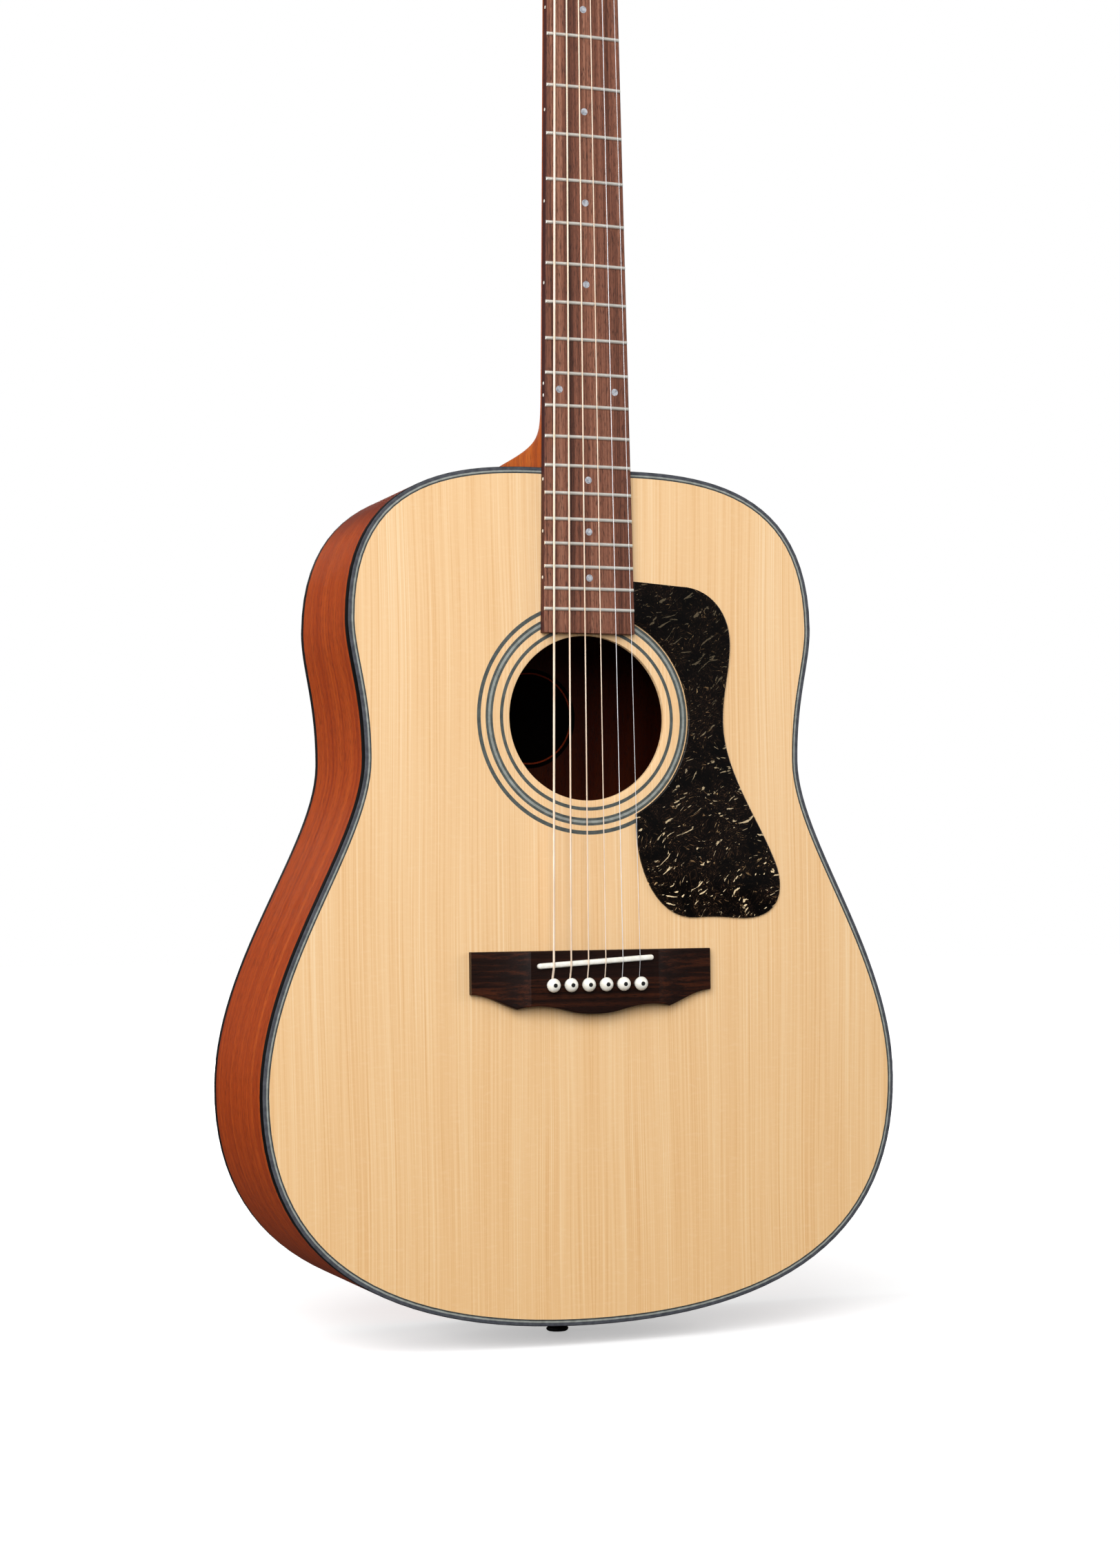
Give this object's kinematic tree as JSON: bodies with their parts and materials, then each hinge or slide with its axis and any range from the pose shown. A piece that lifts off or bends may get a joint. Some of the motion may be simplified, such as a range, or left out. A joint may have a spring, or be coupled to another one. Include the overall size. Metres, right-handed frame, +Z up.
{
  "type": "acoustic guitar",
  "caption": "Steel-string acoustic guitar with a dreadnought body, tenoned neck, pinned bridge and geared tuning machines.",
  "frame": {"origin": "centre of the strap button's outer flat face, at the tail end of the body", "axes": "+Z up along the neck towards the head, -Y the way the soundboard faces, +X towards the treble side"},
  "size_m": [0.396, 0.1393, 1.0582],
  "materials": {
    "spruce_top": "satin lacquer over straight-grained spruce",
    "mahogany_body": "open-pored mahogany under a thin satin finish",
    "mahogany_neck": "satin mahogany",
    "brace_spruce": "bare planed spruce",
    "fretboard_rosewood": "oiled rosewood",
    "bridge_rosewood": "dark oiled rosewood",
    "black_plastic": "buffed black plastic",
    "tortoise": "polished black tortoise with tan flecks",
    "bone": "polished bone white",
    "nickel": "polished nickel",
    "steel": "plain steel",
    "plain_string": "plain steel wire",
    "bronze_string": "bronze wound wire"
  },
  "bodies": {
    "guitar": {"soundboard": "spruce_top", "back_plate": "mahogany_body", "side_bass": "mahogany_body", "side_treble": "mahogany_body", "top_binding": "black_plastic", "back_binding": "black_plastic", "top_lining": "brace_spruce", "back_lining": "brace_spruce", "neck_block": "mahogany_neck", "tail_block": "mahogany_neck", "x_brace_bass": "brace_spruce", "x_brace_treble": "brace_spruce", "upper_brace": "brace_spruce", "tone_bar_upper": "brace_spruce", "tone_bar_lower": "brace_spruce", "bridge_plate": "fretboard_rosewood", "back_brace_1": "brace_spruce", "back_brace_2": "brace_spruce", "back_brace_3": "brace_spruce", "back_brace_4": "brace_spruce", "bridge": "bridge_rosewood", "saddle": "bone", "pickguard": "tortoise", "neck": "mahogany_neck", "heel_cap": "black_plastic", "truss_rod": "steel", "fretboard": "fretboard_rosewood", "nut": "bone", "headplate": "bridge_rosewood", "strap_button": "black_plastic", "string_1": "plain_string", "string_2": "plain_string", "string_3": "bronze_string", "string_4": "bronze_string", "string_5": "bronze_string", "string_6": "bronze_string", "tuner_housing_1": "nickel", "tuner_housing_2": "nickel", "tuner_housing_3": "nickel", "tuner_housing_4": "nickel", "tuner_housing_5": "nickel", "tuner_housing_6": "nickel"},
    "button_1": {"tuner_button_1": "nickel"},
    "post_1": {"tuner_post_1": "nickel"},
    "button_2": {"tuner_button_2": "nickel"},
    "post_2": {"tuner_post_2": "nickel"},
    "button_3": {"tuner_button_3": "nickel"},
    "post_3": {"tuner_post_3": "nickel"},
    "button_4": {"tuner_button_4": "nickel"},
    "post_4": {"tuner_post_4": "nickel"},
    "button_5": {"tuner_button_5": "nickel"},
    "post_5": {"tuner_post_5": "nickel"},
    "button_6": {"tuner_button_6": "nickel"},
    "post_6": {"tuner_post_6": "nickel"},
    "pin_1": {"bridge_pin_1": "bone"},
    "pin_2": {"bridge_pin_2": "bone"},
    "pin_3": {"bridge_pin_3": "bone"},
    "pin_4": {"bridge_pin_4": "bone"},
    "pin_5": {"bridge_pin_5": "bone"},
    "pin_6": {"bridge_pin_6": "bone"}
  },
  "joints": [
    {"name": "button_1_turn", "type": "hinge", "parent": "guitar", "child": "button_1", "pos_m": [0.0325, -0.03648, 0.90287], "axis": [1, 0, 0], "continuous": true},
    {"name": "post_1_turn", "type": "hinge", "parent": "guitar", "child": "post_1", "pos_m": [0.0205, -0.05381, 0.91605], "axis": [0, -0.9703, 0.2419], "continuous": true},
    {"name": "button_2_turn", "type": "hinge", "parent": "guitar", "child": "button_2", "pos_m": [0.0335, -0.0268, 0.94168], "axis": [1, 0, 0], "continuous": true},
    {"name": "post_2_turn", "type": "hinge", "parent": "guitar", "child": "post_2", "pos_m": [0.0215, -0.04413, 0.95487], "axis": [0, -0.9703, 0.2419], "continuous": true},
    {"name": "button_3_turn", "type": "hinge", "parent": "guitar", "child": "button_3", "pos_m": [0.0345, -0.01713, 0.98049], "axis": [1, 0, 0], "continuous": true},
    {"name": "post_3_turn", "type": "hinge", "parent": "guitar", "child": "post_3", "pos_m": [0.0225, -0.03445, 0.99368], "axis": [0, -0.9703, 0.2419], "continuous": true},
    {"name": "button_4_turn", "type": "hinge", "parent": "guitar", "child": "button_4", "pos_m": [-0.0345, -0.01713, 0.98049], "axis": [-1, 0, 0], "continuous": true},
    {"name": "post_4_turn", "type": "hinge", "parent": "guitar", "child": "post_4", "pos_m": [-0.0225, -0.03445, 0.99368], "axis": [0, -0.9703, 0.2419], "continuous": true},
    {"name": "button_5_turn", "type": "hinge", "parent": "guitar", "child": "button_5", "pos_m": [-0.0335, -0.0268, 0.94168], "axis": [-1, 0, 0], "continuous": true},
    {"name": "post_5_turn", "type": "hinge", "parent": "guitar", "child": "post_5", "pos_m": [-0.0215, -0.04413, 0.95487], "axis": [0, -0.9703, 0.2419], "continuous": true},
    {"name": "button_6_turn", "type": "hinge", "parent": "guitar", "child": "button_6", "pos_m": [-0.0325, -0.03648, 0.90287], "axis": [-1, 0, 0], "continuous": true},
    {"name": "post_6_turn", "type": "hinge", "parent": "guitar", "child": "post_6", "pos_m": [-0.0205, -0.05381, 0.91605], "axis": [0, -0.9703, 0.2419], "continuous": true},
    {"name": "pin_1_pull", "type": "slide", "parent": "guitar", "child": "pin_1", "axis": [0, -1, 0], "range_m": [0, 0.028]},
    {"name": "pin_2_pull", "type": "slide", "parent": "guitar", "child": "pin_2", "axis": [0, -1, 0], "range_m": [0, 0.028]},
    {"name": "pin_3_pull", "type": "slide", "parent": "guitar", "child": "pin_3", "axis": [0, -1, 0], "range_m": [0, 0.028]},
    {"name": "pin_4_pull", "type": "slide", "parent": "guitar", "child": "pin_4", "axis": [0, -1, 0], "range_m": [0, 0.028]},
    {"name": "pin_5_pull", "type": "slide", "parent": "guitar", "child": "pin_5", "axis": [0, -1, 0], "range_m": [0, 0.028]},
    {"name": "pin_6_pull", "type": "slide", "parent": "guitar", "child": "pin_6", "axis": [0, -1, 0], "range_m": [0, 0.028]}
  ],
  "couplings": [
    {"joint": "post_1_turn", "follows": "button_1_turn", "ratio": 0.071429},
    {"joint": "post_2_turn", "follows": "button_2_turn", "ratio": 0.071429},
    {"joint": "post_3_turn", "follows": "button_3_turn", "ratio": 0.071429},
    {"joint": "post_4_turn", "follows": "button_4_turn", "ratio": 0.071429},
    {"joint": "post_5_turn", "follows": "button_5_turn", "ratio": 0.071429},
    {"joint": "post_6_turn", "follows": "button_6_turn", "ratio": 0.071429}
  ]
}
